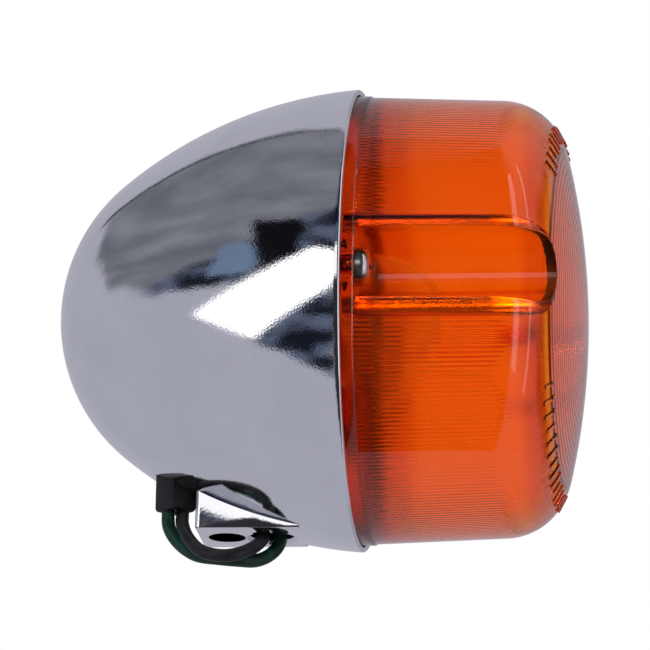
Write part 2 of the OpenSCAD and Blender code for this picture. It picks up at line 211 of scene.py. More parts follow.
def studio_world():
    world = bpy.data.worlds.new("studio")
    bpy.context.scene.world = world
    tree = new_tree(world)
    direction = add(tree, "ShaderNodeTexCoord").outputs["Generated"]
    blur = add(tree, "ShaderNodeTexNoise", {"Vector": direction, "Scale": 7.0, "Detail": 5.0})
    blur_reach = 0.16
    shift = vector_maths(tree, "SUBTRACT", {0: blur.outputs["Color"], 1: grey(0.5)})
    shift = vector_maths(tree, "SCALE", {0: shift, "Scale": blur_reach})
    bent = vector_maths(tree, "ADD", {0: direction, 1: shift})
    true_axes = add(tree, "ShaderNodeSeparateXYZ", {0: direction}).outputs
    axes = add(tree, "ShaderNodeSeparateXYZ", {0: bent}).outputs

    def angles(x, y, z):
        az = maths(tree, "ARCTAN2", x, maths(tree, "MULTIPLY", y, -1.0))
        el = maths(tree, "ARCSINE", z)
        return (maths(tree, "MULTIPLY", az, 180 / math.pi),
                maths(tree, "MULTIPLY", el, 180 / math.pi))

    bent_view, sharp_view = angles(*axes), angles(*true_axes)
    floor_tone, dark_wall = (0.475, 0.475, 0.55), (0.03, 0.03, 0.035)
    stretched = add(tree, "ShaderNodeMapping", {"Vector": direction, "Scale": (2.2, 2.2, 9.0)})
    ceiling = ramp(tree, noise(tree, stretched.outputs[0], 1.2, 4.0), [
        (0.3, (0.155, 0.16, 0.19)), (0.7, (0.265, 0.27, 0.31))])
    navy = ramp(tree, blur.outputs["Fac"], [
        (0.4, (0.010, 0.012, 0.02)), (0.6, (0.12, 0.145, 0.22))])
    ceiling_corners = [(-128, 40), (-72, 8), (60, 10), (60, 90), (-120, 90)]
    room = mix_colour(tree, window(tree, bent_view, ceiling_corners, 5.0), floor_tone, ceiling)
    seam_start, seam_end, seam_wide = (-131, 36), (-122, 74), 3
    edges = [half_plane(tree, sharp_view, (seam_start[0] + aside, seam_start[1]),
                        (seam_end[0] + aside, seam_end[1]), 1.2) for aside in (0, seam_wide)]
    seam = maths(tree, "MULTIPLY", maths(tree, "ABSOLUTE", maths(tree, "SUBTRACT", *edges)),
                 window(tree, sharp_view, [(-134, 34), (-110, 34), (-110, 76), (-134, 76)], 3.0))
    room = mix_colour(tree, seam, room, dark_wall)
    box_white, card_white, strip_white = grey(1.6), grey(1.3), (2.2, 2.2, 2.3)
    # Each layer: which view, its corners, its softness in degrees and its colour.
    layers = [
        # The dark side where the camera stands, a dark wall, and the sky in its window.
        (bent_view, [(-20, -90), (44, -90), (44, 90), (-12, 90)], 5.0, dark_wall),
        (bent_view, [(-74, 8), (10, 4), (10, 44), (-18, 42)], 3.0, navy),
        (bent_view, [(-51, 12), (-38, 12), (-40, 26), (-50, 26)], 1.5, (0.17, 0.24, 0.36)),
        (bent_view, [(-36, 10), (-24, 10), (-27, 36), (-44, 36)], 1.5, (0.006, 0.006, 0.008)),
        (bent_view, [(-43, -19), (-20, -42), (-14, -8), (-18, 2)], 2.0, navy),
        # The big soft box, a white card beside it and two strip lights in front of the lens.
        (sharp_view, [(-57, -5), (-41, -20), (-17, 1), (-13, 8), (-14, 19), (-22, 22)], 1.5,
         box_white),
        (sharp_view, [(-13, 7), (0, 7), (0, 23), (-13, 23)], 1.0, card_white),
        (sharp_view, [(46, -34), (56, -34), (56, 62), (46, 62)], 1.5, strip_white),
        (sharp_view, [(75, -34), (79, -34), (79, 62), (75, 62)], 1.5, strip_white),
        # The far end of the room, dark, and the wall behind the lamp.
        (bent_view, [(98, -20), (134, -20), (134, 36), (98, 36)], 8.0, (0.04, 0.03, 0.05)),
        (bent_view, [(140, -60), (200, -60), (200, 80), (140, 80)], 8.0, (0.36, 0.36, 0.42))]
    for view, corners, soft, colour in layers:
        room = mix_colour(tree, window(tree, view, corners, soft), room, colour)
    paths = add(tree, "ShaderNodeLightPath").outputs
    near_side = scaled(tree, true_axes[1], -2.5, -0.25, True)
    dim = maths(tree, "MULTIPLY", near_side, paths["Is Transmission Ray"])
    pale = mix_colour(tree, dim, grey(1.0), (0.1, 0.09, 0.1))
    plain = add(tree, "ShaderNodeBackground", {"Color": pale, "Strength": 1.0})
    seen = add(tree, "ShaderNodeBackground", {"Color": room, "Strength": 1.0})
    mirrored = maths(tree, "MULTIPLY", paths["Is Glossy Ray"],
                     maths(tree, "SUBTRACT", 1.0, paths["Is Transmission Ray"]))
    both = add(tree, "ShaderNodeMixShader", {0: mirrored, 1: plain.outputs[0], 2: seen.outputs[0]})
    add(tree, "ShaderNodeOutputWorld", {"Surface": both.outputs[0]})


studio_world()
bpy.context.scene.view_settings.view_transform = "Standard"

# %% Floor and lights
floor_tones, floor_rough = ((0.8536, 0.8536, 0.8633), (0.88, 0.88, 0.89)), 0.6
floor_half, floor_z = 20.0, -1


def floor_plane():
    tree = new_material("pale_floor")
    grain = add(tree, "ShaderNodeTexNoise", {"Scale": 40.0, "Detail": 4.0})
    tone = ramp(tree, grain.outputs["Fac"], list(zip((0.3, 0.7), floor_tones)))
    finish_material(tree, {"Base Color": tone, "Roughness": floor_rough})
    mesh = bpy.data.meshes.new("floor")
    corners = [(x * floor_half, y * floor_half, floor_z)
               for x, y in ((-1, -1), (1, -1), (1, 1), (-1, 1))]
    mesh.from_pydata(corners, [], [(0, 1, 2, 3)])
    mesh.materials.append(materials["pale_floor"])
    floor = place_new("floor", mesh)
    floor.visible_glossy = False


def key_light():
    data = bpy.data.lights.new("key_light", "AREA")
    data.shape, data.size, data.size_y, data.energy = "RECTANGLE", 0.34, 0.2, 8
    light = place_new("key_light", data)
    light.location = (-0.3, -0.9, 0.5)
    light.rotation_mode = "QUATERNION"
    away = light.location - Vector((rim_x, 0, axis_z))
    light.rotation_quaternion = away.to_track_quat("Z", "Y")
    light.visible_glossy = False


floor_plane()
key_light()

# %% Mesh helpers
def arc(centre_x, centre_r, radius, start, end, count):
    """Points [x, r] on an arc, angles in degrees from +x towards +r."""
    angles = np.radians(np.linspace(start, end, count))
    return [(centre_x + radius * math.cos(a), centre_r + radius * math.sin(a)) for a in angles]


def circle(count):
    return [2 * math.pi * i / count for i in range(count)]


def coat(mesh, material):
    mesh.materials.clear()
    mesh.materials.append(materials[material])


def make_object(name, mesh, slot, body, *replaced):
    """A drawn piece: its slot is also the name of its material."""
    piece = place_new(name, mesh)
    coat(mesh, slot)
    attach(piece, body)
    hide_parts(*replaced)
    return piece


def mesh_data(name, mesh):
    """Ends the work on an edit mesh and returns what it drew."""
    data = bpy.data.meshes.new(name)
    mesh.to_mesh(data)
    mesh.free()
    return data


def rings_mesh(name, rings, closed_ends=True):
    """A skin through rings of equal count. A ring of one point is a pole."""
    mesh = bmesh.new()
    rows = [[mesh.verts.new(p) for p in ring] for ring in rings]
    for low, high in zip(rows, rows[1:]):
        count = max(len(low), len(high))
        for i in range(count):
            j = (i + 1) % count
            if len(low) == 1:
                mesh.faces.new((low[0], high[j], high[i]))
            elif len(high) == 1:
                mesh.faces.new((low[i], low[j], high[0]))
            else:
                mesh.faces.new((low[i], low[j], high[j], high[i]))
    if closed_ends:
        if len(rows[0]) > 1:
            mesh.faces.new(rows[0][::-1])
        if len(rows[-1]) > 1:
            mesh.faces.new(rows[-1])
    bmesh.ops.recalc_face_normals(mesh, faces=mesh.faces)
    data = mesh_data(name, mesh)
    data.shade_smooth()
    return data


def ring_at(x, r, count, y=0.0):
    return [(x, y + r * math.cos(a), axis_z + r * math.sin(a)) for a in circle(count)]


def turned(name, outline, segments, y=0.0):
    """A solid of revolution about the lamp axis, moved aside by y. outline is [x, r] points."""
    rings = [ring_at(x, r, segments, y) if r > 1e-7 else [(x, y, axis_z)] for x, r in outline]
    return rings_mesh(name, rings)


def cut_solid(name, target, tools):
    """Boolean of the target mesh with a list of (mesh, operation) tools, all closed."""
    piece = place_new(name, target)
    helpers = []
    for i, (tool, kind) in enumerate(tools):
        helper = place_new(f"{name}_tool_{i}", tool)
        modifier = piece.modifiers.new("cut", "BOOLEAN")
        modifier.object, modifier.operation, modifier.solver = helper, kind, "MANIFOLD"
        helpers.append(helper)
    bpy.context.view_layer.update()
    result = bpy.data.meshes.new_from_object(
        piece.evaluated_get(bpy.context.evaluated_depsgraph_get()))
    for extra in [piece, *helpers]:
        bpy.data.objects.remove(extra)
    result.name = name
    return result


def sharpen(mesh, angle=30.0):
    """Smooth shading that breaks at edges steeper than the angle."""
    mesh.shade_smooth()
    mesh.set_sharp_from_angle(angle=math.radians(angle))
    return mesh


def cube(low, high):
    """An edit mesh of a box."""
    mesh = bmesh.new()
    bmesh.ops.create_cube(mesh, size=1)
    for v in mesh.verts:
        v.co = Vector(low[i] + (v.co[i] + 0.5) * (high[i] - low[i]) for i in range(3))
    return mesh


def round_off(mesh, edges, radius, segments):
    bmesh.ops.bevel(mesh, geom=edges, offset=radius, segments=segments, profile=0.5,
                    affect="EDGES")


def upright_edges(mesh):
    return [e for e in mesh.edges if abs(e.verts[0].co.z - e.verts[1].co.z) > MM]


def bottom_edges(mesh):
    return [e for e in mesh.edges if max(v.co.z for v in e.verts) < 1e-6]


def box_mesh(name, low, high, matrix, bevel=0.0):
    mesh = cube(low, high)
    if bevel:
        round_off(mesh, mesh.edges, bevel, 2)
    mesh.transform(matrix)
    return mesh_data(name, mesh)


def joined(name, meshes):
    """One mesh that holds all the given ones."""
    mesh = bmesh.new()
    for part in meshes:
        mesh.from_mesh(part)
    return mesh_data(name, mesh)


# %% [markdown]
# ## The chromed housing
# The real housing is one die casting: a rounded nose runs into one long curve that ends in a
# rolled lip, with a stud boss under it and four screw posts inside. It is built as a turned
# shell of fine rings with the boss and posts joined on and the holes cut out. Chrome shows
# every ripple, so the shell's shading normals are then set from the two arcs it was drawn with.

# %% Housing outline
nose_r, flank_r, wall = 31.4 * MM, 76 * MM, 1.8 * MM
nose_x = nose_r - house_len
lip_r = 0.5 * MM
rebate_r = rim_r - 1.05 * MM
rebate_depth = 2.6 * MM
ledge_r = 38 * MM


def flank_centre():
    gap = math.hypot(rim_r, nose_x)
    reach = flank_r - nose_r
    along = (reach ** 2 - flank_r ** 2 + gap ** 2) / (2 * gap)
    aside = math.sqrt(reach ** 2 - along ** 2)
    to_rim = (-nose_x / gap, rim_r / gap)
    return nose_x + along * to_rim[0] + aside * to_rim[1], along * to_rim[1] - aside * to_rim[0]


flank_x, flank_c = flank_centre()
join_angle = math.degrees(math.atan2(-flank_c, nose_x - flank_x))


def bullet_curve(inset, end_x, nose_points=56, flank_points=72):
    """The nose and flank as [x, r] from the tip to end_x, x measured from the rim plane."""
    end_angle = math.degrees(math.acos((end_x - flank_x) / (flank_r - inset)))
    nose = arc(nose_x, 0, nose_r - inset, 180, join_angle, nose_points)
    flank = arc(flank_x, flank_c, flank_r - inset, join_angle, end_angle, flank_points)
    return [(x, max(r, 0)) for x, r in nose] + flank[1:]


def housing_outline():
    lip_c = rim_r - lip_r - 0.03 * MM
    outside = bullet_curve(0, -lip_r)
    lip = arc(-lip_r, lip_c, lip_r, 88, -88, 14)
    inside = bullet_curve(wall, -10 * MM)[::-1]
    ledge = [(-rebate_depth, rebate_r), (-rebate_depth, ledge_r), (-7 * MM, ledge_r)]
    return outside + lip[1:] + ledge + inside


def shifted(outline):
    return [(x + rim_x, r) for x, r in outline]


print("flank centre", round(flank_x, 5), round(flank_c, 5), "join", round(join_angle, 2))

# %% Housing mesh
boss_back, boss_front, boss_half = -4.9 * MM, 13.6 * MM, 7.5 * MM
boss_step, boss_top, boss_low = 5.5 * MM, 13 * MM, 6 * MM
stud_r, stud_depth = 3.3 * MM, 10 * MM
wire_hole = Vector((7.9, 1.0, 0)) * MM
wire_hole_r, wire_hole_sink = 3.9 * MM, 0.6 * MM
screw_out, bracket_out = 34.8 * MM, 21 * MM
screw_post_r, bracket_post_r, core_end = 4.6 * MM, 4 * MM, 1.4 * MM
screw_post_back, screw_post_front = rim_x - 11.5 * MM, rim_x - 1.45 * MM
bracket_post_back, bracket_post_front = -19.4 * MM, -3 * MM
screw_hole_back, bracket_hole_back = rim_x - 14.45 * MM, -12 * MM
shell_segments = 288
grommet_w = 5.4 * MM
grommet_at = Vector((-8.9, -3.5, 3.8)) * MM
grommet_turn = Matrix.Translation(grommet_at) @ Matrix.Rotation(math.radians(45), 4, "Z")
relief_from, relief_to = Vector((7.2, 0.2, 1.6)) * MM, Vector((5.2, -5, -3.1)) * MM
relief_r, tapped_r = 1.6 * MM, 2 * MM
boss_corner_r, boss_edge_r = 0.8 * MM, 0.25 * MM


def rod(name, start, end, radius, end_radius=None, segments=48):
    mesh = bmesh.new()
    start, end = Vector(start), Vector(end)
    axis = end - start
    turn = axis.to_track_quat("Z", "Y").to_matrix().to_4x4()
    bmesh.ops.create_cone(mesh, cap_ends=True, segments=segments, radius1=radius,
                          radius2=radius if end_radius is None else end_radius,
                          depth=axis.length, matrix=Matrix.Translation((start + end) / 2) @ turn)
    return mesh_data(name, mesh)


def axial(name, x0, x1, radius, y=0.0):
    return rod(name, (x0, y, axis_z), (x1, y, axis_z), radius)


def rounded_boss(front, top):
    block = cube((boss_back, -boss_half, 0), (front, boss_half, top))
    behind = [e for e in upright_edges(block) if min(v.co.x for v in e.verts) < 0]
    round_off(block, behind, boss_corner_r, 6)
    round_off(block, bottom_edges(block), boss_edge_r, 3)
    return mesh_data("boss", block)


def housing_mesh():
    shell = turned("housing", shifted(housing_outline()), shell_segments)
    core_line = shifted(bullet_curve(wall / 2, -core_end)) + [(rim_x - core_end, 0)]
    core = turned("core", core_line, shell_segments)
    posts = []
    for side in (-1, 1):
        posts += [axial("post", screw_post_back, screw_post_front, screw_post_r,
                        side * screw_out),
                  axial("post", bracket_post_back, bracket_post_front, bracket_post_r,
                        side * bracket_out)]
    ribs = joined("ribs", [cut_solid("rib", post, [(core, "INTERSECT")]) for post in posts])
    boss = cut_solid("boss", rounded_boss(boss_step, boss_top),
                     [(rounded_boss(boss_front, boss_low), "UNION")])
    up_mm, segments = Vector((0, 0, MM)), 64
    sink = Vector((0, 0, wire_hole_sink))
    drills = [rod("drill", -up_mm, (0, 0, stud_depth), stud_r, segments=segments),
              rod("drill", wire_hole - up_mm, wire_hole + 14 * up_mm, wire_hole_r,
                  segments=segments),
              rod("drill", wire_hole - sink, wire_hole + sink, wire_hole_r + 2 * wire_hole_sink,
                  wire_hole_r, segments),
              rod("drill", relief_from, relief_to, relief_r)]
    half = grommet_w / 2
    drills.append(box_mesh("drill", (-half, -half, 0), (half, half, 16 * MM), grommet_turn))
    for side in (-1, 1):
        drills += [axial("drill", screw_hole_back, rim_x, tapped_r, side * screw_out),
                   axial("drill", bracket_hole_back, 0, tapped_r, side * bracket_out)]
    tools = [(boss, "UNION"), (ribs, "UNION")] + [(d, "DIFFERENCE") for d in drills]
    return cut_solid("housing", shell, tools)


def true_normals(mesh):
    """Sets the shading normals of the outer skin from its two arcs, and leaves the rest."""
    sharpen(mesh, 28)
    on_arc, facing_out = 0.02 * MM, 0.9
    normals = [Vector(c.vector) for c in mesh.corner_normals]
    join_x = nose_x + nose_r * math.cos(math.radians(join_angle))
    for face in mesh.polygons:
        for loop in face.loop_indices:
            p = mesh.vertices[mesh.loops[loop].vertex_index].co
            x, off = p.x - rim_x, Vector((0, p.y, p.z - axis_z))
            r = off.length
            if x > -lip_r - 1e-6 or r < 1e-6:
                continue
            on_nose = x < join_x
            reach = nose_r if on_nose else flank_r
            slope = Vector((x - nose_x, r) if on_nose else (x - flank_x, r - flank_c))
            if abs(slope.length - reach) > on_arc:
                continue
            true = Vector((slope.x, 0, 0)) / reach + off / r * slope.y / reach
            if true.dot(face.normal) > facing_out:
                normals[loop] = true.normalized()
    mesh.normals_split_custom_set([tuple(n) for n in normals])
    return mesh


def chrome_material():
    """Bright plating with a slight haze and the fine orange peel of a cast surface."""
    tree = new_material("housing_chrome")
    place = object_place(tree)
    haze, specks = noise(tree, place, 90.0, 5.0), noise(tree, place, 2600.0, 2.0)
    tone = ramp(tree, haze, [(0.3, (0.76, 0.76, 0.79)), (0.7, (0.82, 0.82, 0.84))])
    tone = mix_colour(tree, maths(tree, "MULTIPLY", specks, 0.35), tone, (0.5, 0.5, 0.54))
    rough = ramp(tree, haze, [(0.3, grey(0.035)), (0.75, grey(0.085))])
    bump = add(tree, "ShaderNodeBump", {"Height": specks, "Strength": 0.045, "Distance": 0.0002})
    finish_material(tree, {"Base Color": tone, "Metallic": 1.0, "Roughness": rough,
                           "Normal": bump.outputs[0]})


chrome_material()
housing = make_object("bullet_housing", true_normals(housing_mesh()), "housing_chrome", "lamp",
                      "housing")
print("housing faces", len(housing.data.polygons))

# %% [markdown]
# ## The lens
# A real lens like this is one injection moulding in transparent amber. Its outside is smooth, and
# its inside carries the optics: fine flutes round the side that spread the light up and down, and
# rings on the front. Two open channels let the screws sit deep in the wall. Outside and inside
# are each drawn as rings of one cross-section, a circle with two U-shaped bites whose corners are
# rounded, and the inside is then taken out of the outside.

# %% Lens profile
lens_len, corner_r, dome_r, draft = 39.8 * MM, 11.6 * MM, 127 * MM, 0.038
lens_r, side_r, lens_wall = 40 * MM, 39.85 * MM, 2.2 * MM
lens_back, flange_front, channel_floor = -1.35 * MM, 2 * MM, 2.2 * MM
channel_r, channel_edge_r = 6.3 * MM, 0.45 * MM
slope_len = math.hypot(1, draft)
flute_count, flute_depth = 288, 0.19 * MM
front_spread = math.radians(9.5)
dome_x = lens_len - dome_r
edge_a = side_r - corner_r * slope_len
edge_b = dome_x + edge_a * draft
edge_root = edge_b ** 2 - slope_len ** 2 * (dome_x ** 2 + edge_a ** 2 - (dome_r - corner_r) ** 2)
edge_x = (edge_b + math.sqrt(edge_root)) / slope_len ** 2
edge_r = edge_a - draft * edge_x
side_angle = math.degrees(math.atan2(1, draft))
dome_angle = math.degrees(math.atan2(edge_r, edge_x - dome_x))


def side_at(x, inset):
    return side_r - inset * slope_len - draft * x


def lens_curve(inset, start_x, side_points, corner_points, dome_points):
    """Side, rounded edge and dome as [x, r], x from the rim plane, up to the apex."""
    end_x = edge_x + (corner_r - inset) * draft / slope_len
    side = [(x, side_at(x, inset)) for x in np.linspace(start_x, end_x, side_points)]
    corner = arc(edge_x, edge_r, corner_r - inset, side_angle, dome_angle, corner_points)
    dome = arc(dome_x, 0, dome_r - inset, dome_angle, 0, dome_points)
    return side + corner[1:] + [(x, max(r, 0)) for x, r in dome[1:]]


print("lens edge centre", round(edge_x, 5), round(edge_r, 5))

# %% Lens cross-section
def spread_points(line, count):
    """count points evenly along a polyline of (y, z)."""
    steps = np.array([0.0] + [math.dist(a, b) for a, b in zip(line, line[1:])]).cumsum()
    wanted = np.linspace(0, steps[-1], count)
    ys = np.interp(wanted, steps, [p[0] for p in line])
    zs = np.interp(wanted, steps, [p[1] for p in line])
    return list(zip(ys, zs))


def quarter(radius, bite_r, counts, flute=0.0):
    """A quarter of the cross-section, (y, z) from the bite's middle round to the top."""
    bite_count, fillet_count, round_count = counts
    fillet = channel_edge_r
    reach = screw_out - bite_r
    if bite_r == 0 or radius <= reach + 1e-7:
        # The ring passes inside the bite, so it stays a circle.
        last = front_spread
        if bite_r:
            last *= min(1.0, max(0.02, (reach - radius) / (5 * MM)))
        start = np.linspace(0, last, bite_count + fillet_count - 1)
        shape = [(radius * math.cos(a), radius * math.sin(a)) for a in start]
    else:
        inner = radius - fillet
        across = (inner ** 2 + screw_out ** 2 - (bite_r + fillet) ** 2) / (2 * screw_out)
        open_sided = across >= screw_out
        if open_sided:
            centre = (math.sqrt(inner ** 2 - (bite_r + fillet) ** 2), bite_r + fillet)
            to_bite = math.pi / 2
        else:
            centre = (across, math.sqrt(max(inner ** 2 - across ** 2, 0)))
            to_bite = math.atan2(centre[1], centre[0] - screw_out)
        turn = np.linspace(math.pi, to_bite, 24)
        line = [(screw_out + bite_r * math.cos(a), bite_r * math.sin(a)) for a in turn]
        if open_sided:
            line.append((centre[0], bite_r))
        shape = spread_points(line, bite_count)
        last = math.atan2(centre[1], centre[0])
        for a in np.linspace(to_bite - math.pi, last, fillet_count)[1:]:
            shape.append((centre[0] + fillet * math.cos(a), centre[1] + fillet * math.sin(a)))
    for a in np.linspace(last, math.pi / 2, round_count)[1:]:
        r = radius + flute * abs(math.sin(a * flute_count / 2))
        shape.append((r * math.cos(a), r * math.sin(a)))
    return shape


def lens_ring(x, radius, bite_r, counts, flute=0.0):
    part = quarter(radius, bite_r, counts, flute)
    half = part + [(-y, z) for y, z in part[-2::-1]]
    whole = half + [(y, -z) for y, z in half[-2:0:-1]]
    return [(rim_x + x, y, axis_z + z) for y, z in whole]


print("points in a ring", len(lens_ring(0.01, 0.039, channel_r, (14, 6, 70))))

# %% Lens outside and inside
outer_counts, inner_counts = (14, 6, 70), (14, 5, 265)


def lens_outside():
    rings = [lens_ring(x, lens_r, 0, outer_counts) for x in (lens_back, flange_front - 0.2 * MM)]
    rings.append(lens_ring(flange_front, lens_r - 0.12 * MM, 0, outer_counts))
    rings.append(lens_ring(channel_floor, side_at(channel_floor, 0), 0, outer_counts))
    curve = lens_curve(0, channel_floor, 12, 34, 3)[:-2]
    curve += arc(dome_x, 0, dome_r, dome_angle, dome_angle - 1.6, 14)[1:]
    curve += arc(dome_x, 0, dome_r, dome_angle - 1.6, 0.05, 30)[1:]
    rings += [lens_ring(x, r, channel_r, outer_counts) for x, r in curve]
    rings.append([(rim_x + lens_len, 0, axis_z)])
    return rings_mesh("lens_outside", rings)


def lens_inside():
    """The hollow: flutes round its side and rings in its front."""
    bite, rows = channel_r + lens_wall, []
    smooth_to, fade = 2.0 * MM, 1.2 * MM
    for x in (lens_back - 0.5 * MM, -0.05 * MM):
        rows.append(lens_ring(x, side_at(x, lens_wall), 0, inner_counts))
    side = [0, smooth_to, smooth_to + fade] + list(np.linspace(5, 22, 6) * MM)
    for x in side:
        share = min(max((x - smooth_to) / fade, 0), 1) * (1 if x < 7 * MM else 0.4)
        wave = flute_depth * share
        rows.append(lens_ring(x, side_at(x, lens_wall) - wave / 2, bite, inner_counts, wave))
    corner = arc(edge_x, edge_r, corner_r - lens_wall, side_angle, dome_angle, 20)
    for i, (x, r) in enumerate(corner):
        wave = 0.4 * flute_depth * max(1 - i / 5, 0)
        rows.append(lens_ring(x, r - wave / 2, bite, inner_counts, wave))
    pitch, height = 1.25 * MM, 0.13 * MM
    inner_dome = dome_r - lens_wall
    rows_end = corner[-1][1]
    rings_per_step = 5
    count = int(rows_end / pitch * rings_per_step)
    for i in range(1, count):
        radius = rows_end * (1 - i / count)
        wave = height * abs(math.sin(math.pi * radius / pitch))
        x = dome_x + math.sqrt(inner_dome ** 2 - radius ** 2) - wave
        rows.append(lens_ring(x, radius, bite, inner_counts))
    rows.append([(rim_x + lens_len - lens_wall, 0, axis_z)])
    hollow = rings_mesh("lens_inside", rows)
    hollow.polygons.foreach_set("material_index", [1] * len(hollow.polygons))
    return hollow


def front_ribs():
    """Short raised ribs in two arcs on the front edge, an even pattern with no meaning."""
    ribs, count, radius = [], 15, 32.8 * MM
    slope = math.asin((radius - edge_r) / corner_r)
    x = edge_x + corner_r * math.cos(slope)
    for first, last in ((216, 284), (76, 142)):
        for i in range(count):
            angle = math.radians(first + (last - first) * i / (count - 1))
            place = (Matrix.Translation((rim_x + x, 0, axis_z)) @ Matrix.Rotation(angle, 4, "X")
                     @ Matrix.Translation((0, radius, 0)) @ Matrix.Rotation(slope, 4, "Z"))
            reach = (1.7 if i % 3 else 1.2) * MM
            ribs.append(box_mesh("rib", (-0.6 * MM, -reach, -0.4 * MM),
                                 (0.3 * MM, reach, 0.4 * MM), place, 0.14 * MM))
    return joined("ribs", ribs)


foot_r, clearance_r = 4.4 * MM, 2.15 * MM


def lens_mesh():
    outside, inside = lens_outside(), lens_inside()
    tools = [(inside, "DIFFERENCE")]
    for side in (-1, 1):
        y, back = side * screw_out, rim_x + lens_back
        foot = axial("foot", back, rim_x + 1.4 * MM, foot_r, y)
        hole = axial("hole", back - MM, rim_x + 4 * MM, clearance_r, y)
        tools += [(foot, "UNION"), (hole, "DIFFERENCE")]
    tools.append((front_ribs(), "UNION"))
    return sharpen(cut_solid("lens", outside, tools), 42)


lens_data = lens_mesh()
print("lens faces", len(lens_data.polygons))

# %% Lens material
def amber_material():
    """Amber plastic: tinted in its depth, glossy outside and satin on the optics inside,
    with painted shade at its root and round its corner.
    """
    tree = new_material("amber_plastic")
    place = object_place(tree)
    cloud = noise(tree, place, 60.0, 3.0)
    tone = ramp(tree, cloud, [(0.3, (0.94, 0.325, 0.08)), (0.7, (0.96, 0.35, 0.095))])
    along = add(tree, "ShaderNodeSeparateXYZ", {0: place}).outputs[0]
    along_lens = maths(tree, "DIVIDE", maths(tree, "SUBTRACT", along, rim_x), lens_len)
    # Painted shade: the tone turns darker and redder at the root and round the corner,
    # where the lens is seen edge on.
    painted_shade_band = ramp(tree, along_lens, [(0.1, grey(0.9)), (0.19, grey(0)), (0.74, grey(0)),
                                  (0.80, grey(0.5)), (0.90, grey(0.5)), (0.93, grey(0))])
    tone = mix_colour(tree, painted_shade_band, tone, (0.74, 0.15, 0.02))
    outside, inside = [ramp(tree, cloud, [(0.3, grey(low)), (0.75, grey(high))])
                       for low, high in ((0.03, 0.06), (0.12, 0.2))]
    optic = add(tree, "ShaderNodeAttribute", attribute_name="optic").outputs["Fac"]
    depth = add(tree, "ShaderNodeVolumeAbsorption", {"Color": (0.955, 0.84, 0.0, 1),
                                                     "Density": 370.0})
    finish_material(tree, {"Base Color": tone, "IOR": 1.5, "Transmission Weight": 1.0,
                           "Roughness": mix_colour(tree, optic, outside, inside)},
                    depth.outputs[0])


inside_faces = [f.material_index for f in lens_data.polygons]
optic = lens_data.attributes.new("optic", "FLOAT", "FACE")
optic.data.foreach_set("value", inside_faces)
lens_data.polygons.foreach_set("material_index", [0] * len(inside_faces))
amber_material()
make_object("fluted_lens", lens_data, "amber_plastic", "lens",
            "lens", "lens_channel_left", "lens_channel_right")
print("optic faces", sum(inside_faces))

# %% [markdown]
# ## Shared effects
# Three small groups are used by many materials: worn edges, fine grain, and dust that settles on
# faces that look up. They give only masks, so each material keeps its own shader.

# %% Shared node groups
def new_group(name, inputs, outputs):
    group = bpy.data.node_groups.new(name, "ShaderNodeTree")
    for label, default in inputs:
        socket = group.interface.new_socket(label, in_out="INPUT", socket_type="NodeSocketFloat")
        socket.default_value = default
    for label in outputs:
        group.interface.new_socket(label, in_out="OUTPUT", socket_type="NodeSocketFloat")
    return group, group.nodes.new("NodeGroupInput"), group.nodes.new("NodeGroupOutput")


def edge_wear_group():
    """A mask of worn corners: where the rounded normal leaves the true one."""
    group, given, result = new_group("edge_wear", [("Radius", 0.0003)], ["Mask"])
    bevel = add(group, "ShaderNodeBevel", {"Radius": given.outputs[0]}, samples=6)
    normal = add(group, "ShaderNodeNewGeometry").outputs["Normal"]
    facing = add(group, "ShaderNodeVectorMath", {0: bevel.outputs[0], 1: normal},
                 operation="DOT_PRODUCT").outputs["Value"]
    breakup = noise(group, object_place(group), 900.0, 4.0)
    bent = maths(group, "MULTIPLY", maths(group, "SUBTRACT", 1.0, facing), 9.0, clamp=True)
    mask = maths(group, "MULTIPLY", bent, breakup, clamp=True)
    group.links.new(mask, result.inputs[0])
    return group


def grain_group():
    """A height for fine grain with a few longer scratches."""
    group, given, result = new_group("fine_grain", [("Scale", 1500.0)], ["Height"])
    place = object_place(group)
    fine = noise(group, place, given.outputs[0], 5.0)
    stretch = add(group, "ShaderNodeMapping", {"Vector": place, "Scale": (0.06, 1.0, 1.0)})
    lines = noise(group, stretch.outputs[0], 1100.0, 2.0)
    height = maths(group, "ADD", fine, maths(group, "MULTIPLY", lines, 0.6))
    group.links.new(height, result.inputs[0])
    return group


def dust_group():
    """A mask of dust on faces that look up, broken up by soft noise."""
    group, given, result = new_group("settled_dust", [("Amount", 0.3)], ["Mask"])
    normal = add(group, "ShaderNodeNewGeometry").outputs["Normal"]
    upward = add(group, "ShaderNodeSeparateXYZ", {0: normal}).outputs[2]
    cloud = noise(group, object_place(group), 220.0, 6.0)
    soft = maths(group, "MULTIPLY", maths(group, "MAXIMUM", upward, 0.0), cloud)
    group.links.new(maths(group, "MULTIPLY", soft, given.outputs[0], clamp=True), result.inputs[0])
    return group


edge_wear, fine_grain, settled_dust = edge_wear_group(), grain_group(), dust_group()


def use_group(tree, group, value):
    node = tree.nodes.new("ShaderNodeGroup")
    node.node_tree = group
    node.inputs[0].default_value = value
    return node.outputs[0]


